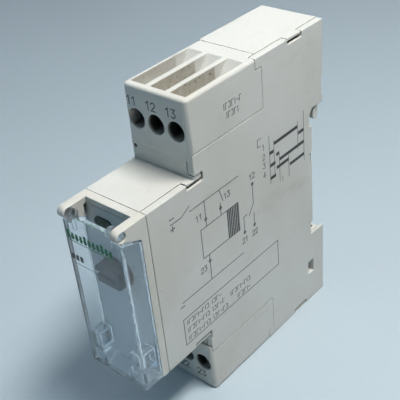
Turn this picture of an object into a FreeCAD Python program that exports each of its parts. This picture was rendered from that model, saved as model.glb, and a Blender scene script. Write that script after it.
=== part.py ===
import FreeCAD, Part
import os
import re
import Sketcher

# DIN rail timer, one module wide: a left shell, a right lid, a front bezel with a hinged
# clear cover, two terminal covers with three screw clamps each, and a sprung rail clip.
#
# Frame, in millimetres: the origin is the centre of the face that sits on the rail.
# +X is the lid side, -Y is the front, +Y goes through the rail into the panel, +Z is up.

DIMENSIONS = {
    # outline
    "half_width": 9.0,
    "half_height": 41.5,
    "nose_half": 22.5,
    "wall": 1.6,
    "lid_thickness": 1.8,
    "seam": 0.12,
    "running_gap": 0.05,
    "moving_gap": 0.3,
    # depths, negative in front of the rail seat
    "rear_face": 4.9,
    "step_front": -21.6,
    "cap_rear": -19.4,
    "strip_front": -44.2,
    "cap_front": -44.7,
    "bezel_rear": -59.4,
    "bezel_front": -61.6,
    "cover_front": -67.2,
    # heights
    "cap_low": 28.6,
    "apron_low": 27.1,
    "step_low": 38.9,
    # rail recess: 35 mm rail, 1 mm thick flange
    "seat_half": 14.7,
    "relief_depth": 0.9,
    "upper_block_low": 19.6,
    "lower_block_top": -18.7,
    "shell_block_top": -20.2,
    "block_ledge": 0.75,
    "groove_top": 18.1,
    "lip_inner": 1.25,
    "lip_outer": 3.4,
    "lip_tip": 15.55,
    "lip_slope": 0.65,
    "seat_wall": 2.5,
    # rail clip
    "clip_half_width": 5.7,
    "clip_front": 1.4,
    "clip_rear": 4.0,
    "clip_tip": -15.9,
    "clip_shoulder": -20.0,
    "clip_foot": -40.9,
    "clip_window_half": 1.9,
    "clip_window_top": -24.0,
    "clip_window_low": -38.0,
    "clip_slot_half": 2.6,
    "post_top": -34.6,
    "spring_radius": 1.2,
    "spring_wire": 0.2,
    "spring_turns": 9,
    # terminals
    "terminal_pitch": 5.7,
    "terminal_offset": -0.15,
    "screw_height": 33.6,
    "driver_hole_radius": 2.4,
    "head_room_radius": 2.65,
    "head_room_front": -42.5,
    "screw_head_radius": 2.1,
    "screw_head_front": -41.5,
    "screw_head_rear": -40.0,
    "screw_radius": 1.5,
    "screw_slot": 0.7,
    "screw_slot_depth": 0.8,
    "cell_width": 4.4,
    "cell_front": -43.0,
    "cell_rear": -24.0,
    "cell_floor": 36.9,
    "bay_width": 4.9,
    "bay_front": -39.5,
    "bay_rear": -26.6,
    "bay_top": 36.0,
    "cap_wall": 1.2,
    "clamp_width": 4.5,
    "clamp_low": 31.4,
    "clamp_high": 35.8,
    "clamp_front": -36.1,
    "clamp_inner_front": -34.9,
    "clamp_inner_rear": -29.0,
    "clamp_rear": -28.0,
    "clamp_cheek": 0.6,
    "bar_front": -33.6,
    "bar_thickness": 0.8,
    "bar_half_width": 1.35,
    "bar_top": 35.6,
    "bar_shelf": 25.6,
    "bar_leg_low": 18.6,
    "bar_lane_pitch": 3.2,
    # ears and clear cover
    "pivot_depth": -66.6,
    "pivot_height": 21.1,
    "ear_radius": 1.4,
    "ear_inner": 6.8,
    "ear_low": 17.5,
    "trunnion_radius": 1.15,
    "cover_wall": 1.2,
    "cover_side_top": 17.1,
    "cover_side_top_front": 19.1,
    "cover_top": 20.9,
    "cover_corner": 0.5,
    "lug_thickness": 1.1,
    "catch_inner": 4.9,
    "catch_wall": 0.8,
    "catch_low": -18.0,
    "catch_high": -12.6,
    "catch_rear": -62.4,
    # front controls
    "knob_height": 5.5,
    "knob_radius": 4.0,
    "knob_front": -64.4,
    "knob_rear": -62.0,
    "knob_shaft_radius": 1.5,
    "knob_slot": 1.5,
    "knob_slot_depth": 1.0,
    "lamp_offset": -2.2,
    "lamp_height": 17.2,
    "lamp_radius": 1.3,
    "lamp_half_length": 1.3,
    "fascia_half": 7.6,
    "fascia_thickness": 0.5,
    # boards and relay
    "board_front": -53.6,
    "board_thickness": 1.2,
    "main_board_left": -7.1,
    "main_board_right": -5.5,
    "main_board_front": -51.2,
    "main_board_rear": -4.0,
    "main_board_half": 20.4,
    "relay_front": -22.0,
    "relay_rear": -12.0,
    "relay_half": 14.2,
    "relay_right": 6.7,
    "relay_wall": 0.7,
}

# Upper terminals left to right, then lower terminals: name, column, side of the device.
TERMINALS = [
    ("a1", -1, 1), ("c15", 0, 1), ("y1", 1, 1),
    ("c16", -1, -1), ("c18", 0, -1), ("a2", 1, -1),
]

ALIAS = re.compile(r"\b(" + "|".join(sorted(DIMENSIONS, key=len, reverse=True)) + r")\b")

doc = FreeCAD.newDocument("rail_timer")
sheet = doc.addObject("Spreadsheet::Sheet", "Dims")
for row, (alias, value) in enumerate(DIMENSIONS.items(), start=1):
    sheet.set("A%d" % row, alias)
    sheet.set("B%d" % row, str(value))
    sheet.setAlias("B%d" % row, alias)
doc.recompute()

sub_parts = []


def vector(x, y, z):
    return FreeCAD.Vector(x, y, z)


def expression(text):
    """A formula in the names of the sheet, written as FreeCAD reads it."""
    return ALIAS.sub(r"Dims.\1", str(text))


def bind(target, **formulas):
    for name, text in formulas.items():
        target.setExpression(name.replace("__", "."), expression(text))


def number(name):
    return float(sheet.get(name))


def sub_part(item, label):
    """Names the finished object after its node and lists it for export."""
    item.Label = label
    sub_parts.append(item)
    return item


def block(label, x, y, z):
    """A box from low to high along each axis."""
    item = doc.addObject("Part::Box", label)
    bind(item, Placement__Base__x=x[0], Placement__Base__y=y[0], Placement__Base__z=z[0])
    bind(item, Length="(%s) - (%s)" % (x[1], x[0]), Width="(%s) - (%s)" % (y[1], y[0]))
    bind(item, Height="(%s) - (%s)" % (z[1], z[0]))
    return item


TURNS = {
    "X": FreeCAD.Rotation(vector(0, 1, 0), 90),
    "Y": FreeCAD.Rotation(vector(1, 0, 0), -90),
    "Z": FreeCAD.Rotation(),
}


def rod(label, axis, radius, centre, low, high):
    """A cylinder along axis from low to high; centre gives the other two coordinates in order."""
    item = doc.addObject("Part::Cylinder", label)
    item.Placement = FreeCAD.Placement(vector(0, 0, 0), TURNS[axis])
    place = list(centre)
    place.insert("XYZ".index(axis), low)
    bind(item, Placement__Base__x=place[0], Placement__Base__y=place[1], Placement__Base__z=place[2])
    bind(item, Radius=radius, Height="(%s) - (%s)" % (high, low))
    return item


def prism(label, outline, low, high):
    """A side profile of (y, z) corners, padded along X from low to high."""
    body = doc.addObject("PartDesign::Body", label)
    sketch = body.newObject("Sketcher::SketchObject", label + "_sketch")
    side_plane = [plane for plane in body.Origin.OriginFeatures if plane.Role == "YZ_Plane"][0]
    sketch.AttachmentSupport = [(side_plane, "")]
    sketch.MapMode = "FlatFace"
    bind(sketch, AttachmentOffset__Base__z=low)
    corners = [(solve(y), solve(z)) for y, z in outline]
    count = len(corners)
    for index, (y, z) in enumerate(corners):
        end = corners[(index + 1) % count]
        sketch.addGeometry(Part.LineSegment(vector(y, z, 0), vector(end[0], end[1], 0)))
    for index in range(count):
        sketch.addConstraint(Sketcher.Constraint("Coincident", index, 2, (index + 1) % count, 1))
    for index, (y, z) in enumerate(outline):
        for kind, text, place in (("DistanceX", y, corners[index][0]), ("DistanceY", z, corners[index][1])):
            dimension = sketch.addConstraint(Sketcher.Constraint(kind, -1, 1, index, 1, place))
            sketch.setExpression("Constraints[%d]" % dimension, expression(text))
    pad = body.newObject("PartDesign::Pad", label + "_pad")
    pad.Profile = sketch
    bind(pad, Length="(%s) - (%s)" % (high, low))
    return body


def solve(text):
    """The present value of a formula, for the sketch's first drawing."""
    return float(sheet.evalExpression(expression(text).replace("Dims.", "")))


def fuse(label, *items):
    item = doc.addObject("Part::MultiFuse", label)
    item.Shapes = list(items)
    return item


def cut(label, base, *tools):
    item = doc.addObject("Part::Cut", label)
    item.Base = base
    item.Tool = tools[0] if len(tools) == 1 else fuse(label + "_tools", *tools)
    return item


def group(label, *items):
    """Separate solids that are bought and fitted as a set."""
    item = doc.addObject("Part::Compound", label)
    item.Links = list(items)
    return item


def rounded(label, base, radius, chosen):
    """Rounds the straight edges whose middle point and direction the chooser accepts."""
    doc.recompute()
    item = doc.addObject("Part::Fillet", label)
    item.Base = base
    edges = []
    for index, edge in enumerate(base.Shape.Edges, start=1):
        if len(edge.Vertexes) == 2 and chosen(edge.CenterOfMass, edge.tangentAt(edge.FirstParameter)):
            edges.append((index, radius, radius))
    item.Edges = edges
    return item


def near(value, target):
    return abs(value - target) < 0.01


def side_span(side, low, high):
    """A height range above the middle, or its mirror image below."""
    if side > 0:
        return (low, high)
    return ("-(%s)" % high, "-(%s)" % low)


def mirrored(outline):
    """The lower half of a profile: the upper half's corners in reverse, upside down."""
    return [(y, "-(%s)" % z) for y, z in reversed(outline)]


# ---------------------------------------------------------------- housing

LID_INNER = "half_width - lid_thickness"
CAP_EDGE = "cap_rear + seam"

shoulder = [
    ("bezel_rear", "nose_half"),
    ("strip_front", "nose_half"),
    ("strip_front", "cap_low - seam"),
    (CAP_EDGE, "cap_low - seam"),
]


def seat(block_top):
    """The rail face, from the groove behind the hook down to the lower block."""
    return [
        ("-relief_depth", "groove_top"),
        ("-relief_depth", "seat_half"),
        (0, "seat_half"),
        (0, "-seat_half"),
        ("-relief_depth", "-seat_half"),
        ("-relief_depth", block_top),
        ("rear_face", block_top),
        ("rear_face", "-half_height"),
    ]


hook = [
    ("rear_face", "upper_block_low"),
    ("lip_outer", "upper_block_low"),
    ("lip_outer", "lip_tip + lip_slope"),
    ("lip_outer - lip_slope", "lip_tip"),
    ("lip_inner + lip_slope", "lip_tip"),
    ("lip_inner", "lip_tip + lip_slope"),
    ("lip_inner", "groove_top"),
]
shell_top = shoulder + [(CAP_EDGE, "half_height")]
rear_top = [("rear_face", "half_height")]
shell_outline = shell_top + rear_top + hook + seat("shell_block_top") + mirrored(shell_top)
lid_top = shoulder + [
    (CAP_EDGE, "step_low"),
    ("step_front + seam", "step_low"),
    ("step_front + seam", "half_height"),
]
lid_block = [("rear_face", "upper_block_low"), ("lip_inner - relief_depth", "upper_block_low")]
lid_outline = lid_top + rear_top + lid_block + seat("lower_block_top") + mirrored(lid_top)

cavity_top = [
    ("bezel_rear - 1", "nose_half - wall"),
    ("strip_front + wall", "nose_half - wall"),
    ("strip_front + wall", "cap_low - seam - wall"),
    ("cap_rear + seam + wall", "cap_low - seam - wall"),
    ("cap_rear + seam + wall", "half_height - wall"),
]
cavity_outline = cavity_top + [
    ("rear_face - wall", "half_height - wall"),
    ("rear_face - wall", "upper_block_low + wall"),
    ("-seat_wall", "upper_block_low + wall"),
    ("-seat_wall", "-(half_height - wall)"),
] + mirrored(cavity_top)[0:]


def terminal_x(column):
    return "terminal_offset + (%d) * terminal_pitch" % column


def bar_slot(name, column, side):
    """The slot in the housing that a contact bar drops through."""
    centre = terminal_x(column)
    x = ("%s - bar_half_width - seam" % centre, "%s + bar_half_width + seam" % centre)
    y = ("bar_front - seam", "bar_front + bar_thickness + seam")
    return block("bar_slot_" + name, x, y, side_span(side, "cap_low - 3", "cap_low + 1"))


def snap_tabs():
    """Four tabs on the shell's rim that click into the lid's windows."""
    tabs = []
    for side, word in ((1, "upper"), (-1, "lower")):
        x = ("half_width - lid_thickness - 0.5", "half_width - 0.25")
        edge = side_span(side, "half_height - 0.6", "half_height")
        tabs.append(block("rear_tab_" + word, x, ("-9.1", "-3.8"), edge))
    tabs.append(block("corner_tab", x, ("strip_front", "strip_front + 2.3"),
                      ("nose_half - 0.45", "nose_half + 0.7")))
    tabs.append(block("upper_ledge", x, ("strip_front - 2.4", "strip_front + 1"),
                      ("nose_half - 0.45", "nose_half")))
    tabs.append(block("lower_ledge", x, ("strip_front - 5.2", "strip_front"),
                      ("-nose_half", "-nose_half + 0.5")))
    return tabs


def board_rests():
    """Pads inside the shell that hold the main board off the wall."""
    pads = []
    for index, (y, z) in enumerate([(-46, 17), (-46, -17), (-8, 17), (-8, -17)]):
        x = ("-half_width + wall - 0.2", "main_board_left")
        pads.append(block("board_rest_%d" % index, x, (y - 1.5, y + 1.5), (z - 1.5, z + 1.5)))
    return pads


def make_shell():
    outside = prism("shell_outside", shell_outline, "-half_width", LID_INNER + " - seam")
    inside = prism("shell_inside", cavity_outline, "-half_width + wall", "half_width")
    channel = block(
        "clip_channel",
        ("-clip_half_width - moving_gap", "clip_half_width + moving_gap"),
        ("clip_front - moving_gap", "clip_rear + moving_gap"),
        ("-half_height - 1", "shell_block_top + 1"),
    )
    window = block(
        "clip_rear_window",
        ("-clip_half_width + 1", "clip_half_width - 1"),
        ("clip_rear", "rear_face + 1"),
        ("-half_height - 1", "shell_block_top + 1"),
    )
    pry_notch = block("pry_notch", ("-half_width + 0.4", "-half_width + 1.3"),
                      ("strip_front - 1", "strip_front + 0.8"), ("cap_low - 3.1", "cap_low - 2.2"))
    slots = [bar_slot(*terminal) for terminal in TERMINALS]
    hollow = cut("shell_hollow", outside, inside, channel, window, pry_notch, *slots)
    post = block(
        "spring_post",
        ("-clip_window_half + moving_gap", "clip_window_half - moving_gap"),
        ("clip_front - moving_gap - 0.5", "clip_rear"),
        ("post_top - 3", "post_top"),
    )
    whole = fuse("shell_whole", hollow, post, *(snap_tabs() + board_rests()))
    return sub_part(whole, "housing_shell")


def make_lid():
    plate = prism("lid_plate", lid_outline, LID_INNER, "half_width")
    beyond = ("half_width - lid_thickness - 1", "half_width + 1")
    windows = []
    windows.append(block("upper_corner_window", beyond, ("strip_front - 2.7", "strip_front + 2.7"),
                         ("nose_half - 1.2", "nose_half + 0.9")))
    windows.append(block("lower_corner_window", beyond, ("strip_front - 5.5", "strip_front + 0.4"),
                         ("-nose_half - 1.6", "-nose_half + 1.1")))
    windows.append(block("ledge_back", ("half_width - lid_thickness - 1", "half_width - block_ledge"),
                         ("-relief_depth - 0.5", "rear_face + 1"),
                         ("shell_block_top", "lower_block_top + 1")))
    for side, word in ((1, "upper"), (-1, "lower")):
        edge = side_span(side, "half_height - 1.35", "half_height + 1")
        windows.append(block("rear_window_" + word, beyond, ("-9.3", "-3.6"), edge))
    windows.append(block("block_notch", beyond, ("rear_face - 0.45", "rear_face + 1"), (21.8, 26.4)))
    windows.append(block("seat_notch", beyond, ("-0.45", "0.5"), (4.9, 7.4)))
    windows.append(block("catch_window", beyond, ("-2.4", "0.1"), (-32.0, -27.8)))
    lip = prism("lid_lip", hook + [("rear_face - 1.2", "groove_top + 2.5")], LID_INNER, "half_width - 0.45")
    return sub_part(fuse("lid_whole", cut("lid_cut", plate, *windows), lip), "side_lid")


# ---------------------------------------------------------------- terminals

WIRE_HOLE_REAR = "clamp_inner_rear + 0.6"


def cell_outline(side):
    """The side profile of a wire cell, with a rear wall that slopes down to the wire hole."""
    outline = [
        ("cell_front", "cell_floor"),
        (WIRE_HOLE_REAR, "cell_floor"),
        ("cell_rear", "half_height"),
        ("cell_rear", "half_height + 1"),
        ("cell_front", "half_height + 1"),
    ]
    return outline if side > 0 else mirrored(outline)


def make_cap(side, label):
    """The block over three terminals: wire cells on top, driver holes in front, clamp bays inside."""
    outside = block(
        label + "_block",
        ("-half_width", "half_width"),
        ("cap_front", "cap_rear"),
        side_span(side, "apron_low", "half_height"),
    )
    top = side * number("half_height")
    half = number("half_width")
    front = number("cap_front")

    def upright_front(middle, direction):
        return near(abs(direction.z), 1) and near(middle.y, front)

    def top_rim(middle, direction):
        return near(middle.z, top) and (abs(middle.x) > half - 0.01 or middle.y < front + 1.5)

    softened = rounded(label + "_corners", outside, 1.1, upright_front)
    softened = rounded(label + "_rim", softened, 0.7, top_rim)
    hollows = [
        block(
            label + "_behind_apron",
            ("-half_width - 1", "half_width + 1"),
            ("strip_front - 0.05", "cap_rear + 1"),
            side_span(side, "apron_low - 1", "cap_low"),
        ),
        block(
            label + "_corner_step",
            (LID_INNER + " - seam", "half_width + 1"),
            ("step_front", "cap_rear + 1"),
            side_span(side, "step_low - seam", "half_height + 1"),
        ),
        block(
            label + "_rear_room",
            ("-half_width + cap_wall", "half_width - cap_wall - 0.8"),
            ("bay_rear + cap_wall + 3", "cap_rear - cap_wall"),
            side_span(side, "cap_low - 1", "half_height - cap_wall"),
        ),
    ]
    for name, column, terminal_side in TERMINALS:
        if terminal_side != side:
            continue
        centre = terminal_x(column)
        tag = label + "_" + name

        def across(width):
            return ("%s - %s / 2" % (centre, width), "%s + %s / 2" % (centre, width))

        hollows.append(prism(tag + "_cell", cell_outline(side), *across("cell_width")))
        hollows.append(block(tag + "_wire_hole", across("cell_width"),
                             ("bar_front + bar_thickness", WIRE_HOLE_REAR),
                             side_span(side, "bay_top - 1", "cell_floor + 1")))
        hollows.append(block(tag + "_bay", across("bay_width"), ("bay_front", "bay_rear"),
                             side_span(side, "cap_low - 1", "bay_top")))
        height = "screw_height * (%d)" % side
        hollows.append(rod(tag + "_driver_hole", "Y", "driver_hole_radius", (centre, height),
                           "cap_front - 1", "head_room_front + 1"))
        hollows.append(rod(tag + "_head_room", "Y", "head_room_radius", (centre, height),
                           "head_room_front", "screw_head_rear"))
        hollows.append(rod(tag + "_neck", "Y", "screw_radius + 0.2", (centre, height),
                           "screw_head_rear - 1", "bay_front + 1"))
    return sub_part(cut(label + "_cut", softened, *hollows), label)


def make_screw(name, column, side):
    """A captive clamp screw: slotted and cross-cut head, plain shank."""
    centre = (terminal_x(column), "screw_height * (%d)" % side)
    tag = "screw_" + name
    head = rod(tag + "_head", "Y", "screw_head_radius", centre,
               "screw_head_front", "screw_head_rear - seam / 2")
    shank = rod(tag + "_shank", "Y", "screw_radius", centre, "screw_head_rear - 1", "bar_front - 0.1")
    slot = block(
        tag + "_slot",
        ("%s - screw_head_radius - 1" % centre[0], "%s + screw_head_radius + 1" % centre[0]),
        ("screw_head_front - 1", "screw_head_front + screw_slot_depth"),
        ("%s - screw_slot / 2" % centre[1], "%s + screw_slot / 2" % centre[1]),
    )
    cross = block(
        tag + "_cross",
        ("%s - screw_slot / 2" % centre[0], "%s + screw_slot / 2" % centre[0]),
        ("screw_head_front - 1", "screw_head_front + screw_slot_depth"),
        ("%s - screw_head_radius * 0.62" % centre[1], "%s + screw_head_radius * 0.62" % centre[1]),
    )
    whole = cut(tag + "_cut", fuse(tag + "_blank", head, shank), slot, cross)
    return sub_part(whole, "terminal_screw_" + name)


def make_clamp(name, column, side):
    """A clamp cage: a ring that the screw draws forward, pinching the wire on the bar."""
    centre = terminal_x(column)
    tag = "clamp_" + name
    ring = block(
        tag + "_ring",
        ("%s - clamp_width / 2" % centre, "%s + clamp_width / 2" % centre),
        ("clamp_front", "clamp_rear"),
        side_span(side, "clamp_low", "clamp_high"),
    )
    gate = block(
        tag + "_gate",
        ("%s - clamp_width / 2 + clamp_cheek" % centre, "%s + clamp_width / 2 - clamp_cheek" % centre),
        ("clamp_inner_front", "clamp_inner_rear"),
        side_span(side, "clamp_low - 1", "clamp_high + 1"),
    )
    hole = rod(tag + "_hole", "Y", "screw_radius + running_gap", (centre, "screw_height * (%d)" % side),
               "clamp_front - 1", "clamp_inner_front + 0.5")
    return sub_part(cut(tag + "_cut", ring, gate, hole), "clamp_cage_" + name)


def make_bar(name, column, side):
    """A contact bar: the jaw in the clamp, a shelf to its own lane, and a leg down to the board."""
    centre = terminal_x(column)
    lane = "bar_front + %d * bar_lane_pitch" % (column + 1)
    tag = "bar_" + name
    shelf = side_span(side, "bar_shelf", "bar_shelf + bar_thickness")
    jaw = block(
        tag + "_jaw",
        ("%s - bar_half_width" % centre, "%s + bar_half_width" % centre),
        ("bar_front", "bar_front + bar_thickness"),
        side_span(side, "bar_shelf", "bar_top"),
    )
    run = block(
        tag + "_run",
        ("%s - 0.6" % centre, "%s + 0.6" % centre),
        ("bar_front", lane + " + bar_thickness"),
        shelf,
    )
    arm = block(
        tag + "_arm",
        ("main_board_right + 0.1", "%s + 0.6" % centre if column >= 0 else "%s + bar_half_width" % centre),
        (lane, lane + " + bar_thickness"),
        shelf,
    )
    leg = block(
        tag + "_leg",
        ("main_board_right + 0.1", "main_board_right + 0.9"),
        (lane, lane + " + bar_thickness"),
        side_span(side, "bar_leg_low", "bar_shelf + bar_thickness"),
    )
    pin = block(
        tag + "_pin",
        ("main_board_left", "main_board_right + 0.9"),
        (lane, lane + " + bar_thickness"),
        side_span(side, "bar_leg_low", "bar_leg_low + 0.8"),
    )
    return sub_part(fuse(tag + "_fuse", jaw, run, arm, leg, pin), "contact_bar_" + name)


# ---------------------------------------------------------------- rail clip

def make_clip():
    """The sliding clip that holds the lower rail flange; pulled down with a screwdriver."""
    lip_outline = [
        ("clip_front", "clip_shoulder"),
        ("clip_front", "clip_tip - 0.4"),
        ("clip_front + 0.4", "clip_tip"),
        ("clip_front + 0.9", "clip_tip"),
        ("lip_outer + 0.2", "clip_tip - 2.2"),
        ("lip_outer + 0.2", "clip_shoulder"),
    ]
    lip = prism("clip_lip", lip_outline, "-clip_half_width", "clip_half_width")
    plate = block("clip_plate", ("-clip_half_width", "clip_half_width"), ("clip_front", "clip_rear"),
                  ("clip_foot", "clip_shoulder"))
    window = block("clip_window", ("-clip_window_half", "clip_window_half"),
                   ("clip_front - 1", "clip_rear + 1"), ("clip_window_low", "clip_window_top"))
    slot = block("clip_slot", ("-clip_slot_half", "clip_slot_half"),
                 ("clip_front + 0.8", "clip_rear - 0.8"), ("clip_foot - 1", "clip_foot + 1.8"))
    return sub_part(cut("clip_cut", fuse("clip_blank", lip, plate), window, slot), "rail_clip")


def make_spring():
    """A coil between the shell's post and the top of the clip's window."""
    low = number("post_top") + number("spring_wire") + 0.02
    high = number("clip_window_top") - number("spring_wire") - 0.02
    radius = number("spring_radius")
    height = high - low
    helix = Part.makeHelix(height / number("spring_turns"), height, radius)
    circle = Part.makeCircle(number("spring_wire"), vector(radius, 0, 0), vector(0, 1, 0.1))
    coil = Part.Wire(helix).makePipeShell([Part.Wire(circle)], True, True)
    item = doc.addObject("Part::Feature", "clip_coil")
    item.Shape = coil
    depth = (number("clip_front") + number("clip_rear")) / 2
    item.Placement = FreeCAD.Placement(vector(0, depth, low), FreeCAD.Rotation())
    return sub_part(item, "clip_spring")


# ---------------------------------------------------------------- front

def make_bezel():
    """The nose's front frame, with two ears that carry the clear cover."""
    plate = block("bezel_plate", ("-half_width", "half_width"), ("bezel_front", "bezel_rear - seam"),
                  ("-nose_half", "nose_half"))
    plug_x = ("-half_width + wall + seam", LID_INNER + " - seam")
    plug_z = ("-nose_half + wall + seam", "nose_half - wall - seam")
    plug = block("bezel_plug", plug_x, ("bezel_rear - 1", "bezel_rear + 2"), plug_z)
    plug_room = block("bezel_plug_room",
                      (plug_x[0] + " + 1", plug_x[1] + " - 1"),
                      ("bezel_rear - seam", "bezel_rear + 3"),
                      (plug_z[0] + " + 1", plug_z[1] + " - 1"))
    ear_outline = [
        ("bezel_front + 1", "nose_half"),
        ("pivot_depth", "nose_half"),
        ("pivot_depth", "pivot_height - ear_radius"),
        ("bezel_front", "ear_low"),
        ("bezel_front + 1", "ear_low"),
    ]
    pieces = [plate, plug]
    holes = [plug_room]
    for word, low, high in (("left", "-half_width", "-ear_inner"), ("right", "ear_inner", "half_width")):
        pieces.append(prism("ear_arm_" + word, ear_outline, low, high))
        pieces.append(rod("ear_tip_" + word, "X", "ear_radius", ("pivot_depth", "pivot_height"), low, high))
    holes.append(rod("pivot_bore", "X", "trunnion_radius + running_gap", ("pivot_depth", "pivot_height"),
                     "-half_width - 1", "half_width + 1"))
    holes.append(block("fascia_pocket", ("-fascia_half - seam", "fascia_half + seam"),
                       ("bezel_front - 1", "bezel_front + fascia_thickness"),
                       ("-nose_half + 1", "nose_half - 1.6")))
    holes.append(rod("shaft_hole", "Y", "knob_shaft_radius + running_gap", (0, "knob_height"),
                     "bezel_front - 1", "bezel_rear + 1"))
    holes.append(lamp_slot("lamp_hole", "running_gap", "bezel_front - 1", "bezel_rear + 1"))
    return sub_part(cut("bezel_cut", fuse("bezel_blank", *pieces), *holes), "front_bezel")


def make_fascia():
    """The thin printed plate behind the knob."""
    plate = block("fascia_plate", ("-fascia_half", "fascia_half"),
                  ("bezel_front", "bezel_front + fascia_thickness - 0.02"),
                  ("-nose_half + 1.1", "nose_half - 1.7"))
    shaft = rod("fascia_shaft_hole", "Y", "knob_shaft_radius + 0.3", (0, "knob_height"),
                "bezel_front - 1", "bezel_rear")
    lamp = lamp_slot("fascia_lamp_hole", "running_gap", "bezel_front - 1", "bezel_rear")
    return sub_part(cut("fascia_cut", plate, shaft, lamp), "front_fascia")


def make_cover():
    """The clear hinged cover: a shallow box open to the rear, on two trunnions."""
    side_outline = [
        ("cover_front", "-nose_half"),
        ("cover_front", "cover_side_top_front"),
        ("bezel_front - seam", "cover_side_top"),
        ("bezel_front - seam", "-nose_half"),
    ]
    outside = prism("cover_box", side_outline, "-half_width", "half_width")
    front = number("cover_front")
    low = -number("nose_half")

    def front_uprights(middle, direction):
        return near(abs(direction.z), 1) and near(middle.y, front)

    def bottom_front(middle, direction):
        return near(middle.y, front) and near(middle.z, low)

    softened = rounded("cover_uprights", outside, number("cover_corner"), front_uprights)
    softened = rounded("cover_bottom_edge", softened, 0.6, bottom_front)
    inside = block("cover_room", ("-half_width + cover_wall", "half_width - cover_wall"),
                   ("cover_front + cover_wall", "bezel_front + 1"),
                   ("-nose_half + cover_wall", "nose_half"))
    tongue = block("cover_tongue", ("-ear_inner + moving_gap", "ear_inner - moving_gap"),
                   ("cover_front", "cover_front + cover_wall"), ("cover_side_top - 2", "cover_top"))
    lugs = []
    for word, low_x, high_x, pin_low, pin_high in (
            ("left", "-ear_inner + moving_gap", "-ear_inner + moving_gap + lug_thickness",
             "-half_width + 0.5", "-ear_inner + 1"),
            ("right", "ear_inner - moving_gap - lug_thickness", "ear_inner - moving_gap",
             "ear_inner - 1", "half_width - 0.5")):
        centre = ("pivot_depth", "pivot_height")
        lugs.append(rod("lug_" + word, "X", "ear_radius", centre, low_x, high_x))
        lugs.append(block("lug_web_" + word, (low_x, high_x),
                          ("cover_front", "pivot_depth + ear_radius * 0.7"),
                          ("cover_side_top", "pivot_height")))
        lugs.append(rod("trunnion_" + word, "X", "trunnion_radius", centre, pin_low, pin_high))
    hollow = cut("cover_hollow", softened, inside)
    catches = []
    for word, outer, inner, post in (
            ("left", "-half_width + cover_wall - 0.1", "-catch_inner", "-catch_inner + catch_wall"),
            ("right", "half_width - cover_wall + 0.1", "catch_inner", "catch_inner - catch_wall")):
        front_y = "cover_front + cover_wall - 0.1"
        low_x, high_x = sorted((outer, inner), key=solve)
        pocket = block("catch_block_" + word, (low_x, high_x), (front_y, "catch_rear"),
                       ("catch_low", "catch_high"))
        room = block("catch_room_" + word, (low_x + " + catch_wall", high_x + " - catch_wall"),
                     (front_y + " + catch_wall", "catch_rear + 1"),
                     ("catch_low + catch_wall", "catch_high - catch_wall"))
        catches.append(cut("catch_pocket_" + word, pocket, room))
        low_x, high_x = sorted((inner, post), key=solve)
        catches.append(block("catch_post_" + word, (low_x, high_x), (front_y, "catch_rear - 1.2"),
                             ("-nose_half + cover_wall - 0.1", "catch_low + 0.1")))
    pull = block("finger_pull", ("-2.6", "2.6"), ("cover_front - 0.5", "cover_front + 0.5"),
                 ("-nose_half + 0.9", "-nose_half + 1.7"))
    return sub_part(fuse("cover_whole", hollow, tongue, *(lugs + catches + [pull])), "clear_cover")


def make_knob():
    """The time-setting knob with its screwdriver slot and shaft."""
    centre = (0, "knob_height")
    grip = rod("knob_grip", "Y", "knob_radius", centre, "knob_front", "knob_rear")
    shaft = rod("knob_shaft", "Y", "knob_shaft_radius", centre, "knob_rear - 1", "board_front - 3")
    slot = block("knob_slot", ("-knob_radius - 1", "knob_radius * 0.75"),
                 ("knob_front - 1", "knob_front + knob_slot_depth"),
                 ("knob_height - knob_slot / 2", "knob_height + knob_slot / 2"))
    flats = []
    for word, low, high in (
            ("upper", "knob_height + knob_slot / 2 + 1.5", "knob_height + knob_radius + 1"),
            ("lower", "knob_height - knob_radius - 1", "knob_height - knob_slot / 2 - 1.5")):
        flats.append(block("knob_flat_" + word, ("-knob_radius - 1", "knob_radius + 1"),
                           ("knob_front - 1", "knob_front + 1.5"), (low, high)))
    return sub_part(cut("knob_cut", fuse("knob_blank", grip, shaft), slot, *flats), "time_knob")


def make_potentiometer():
    centre = (0, "knob_height")
    body = block("pot_block", (-4.6, 4.6), ("board_front - 4.6", "board_front"),
                 ("knob_height - 4.6", "knob_height + 4.6"))
    well = rod("pot_well", "Y", 3.0, centre, "board_front - 5.6", "board_front - 1.6")
    sub_part(cut("pot_cut", body, well), "potentiometer_body")
    disc = rod("rotor_disc", "Y", 2.7, centre, "board_front - 4.2", "board_front - 1.9")
    socket = rod("rotor_socket", "Y", "knob_shaft_radius", centre, "board_front - 5", "board_front - 3")
    return sub_part(cut("rotor_cut", disc, socket), "potentiometer_rotor")


def lamp_slot(label, margin, low, high):
    """The indicator's outline: a short bar with round ends."""
    radius = "lamp_radius + (%s)" % margin
    ends = []
    for word, side in (("left", -1), ("right", 1)):
        centre = ("lamp_offset + (%d) * lamp_half_length" % side, "lamp_height")
        ends.append(rod("%s_%s" % (label, word), "Y", radius, centre, low, high))
    middle = block(label + "_middle", ("lamp_offset - lamp_half_length", "lamp_offset + lamp_half_length"),
                   (low, high), ("lamp_height - (%s)" % radius, "lamp_height + (%s)" % radius))
    return fuse(label, middle, *ends)


def make_lamp():
    centre = ("lamp_offset", "lamp_height")
    sub_part(lamp_slot("lamp_guide", 0, "bezel_front - 0.4", "board_front - 3.4"), "indicator_lens")
    diode = rod("diode_can", "Y", 1.2, centre, "board_front - 3.2", "board_front")
    rim = rod("diode_rim", "Y", 1.5, centre, "board_front - 0.9", "board_front")
    return sub_part(fuse("diode_whole", diode, rim), "indicator_led")


# ---------------------------------------------------------------- electronics

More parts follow.
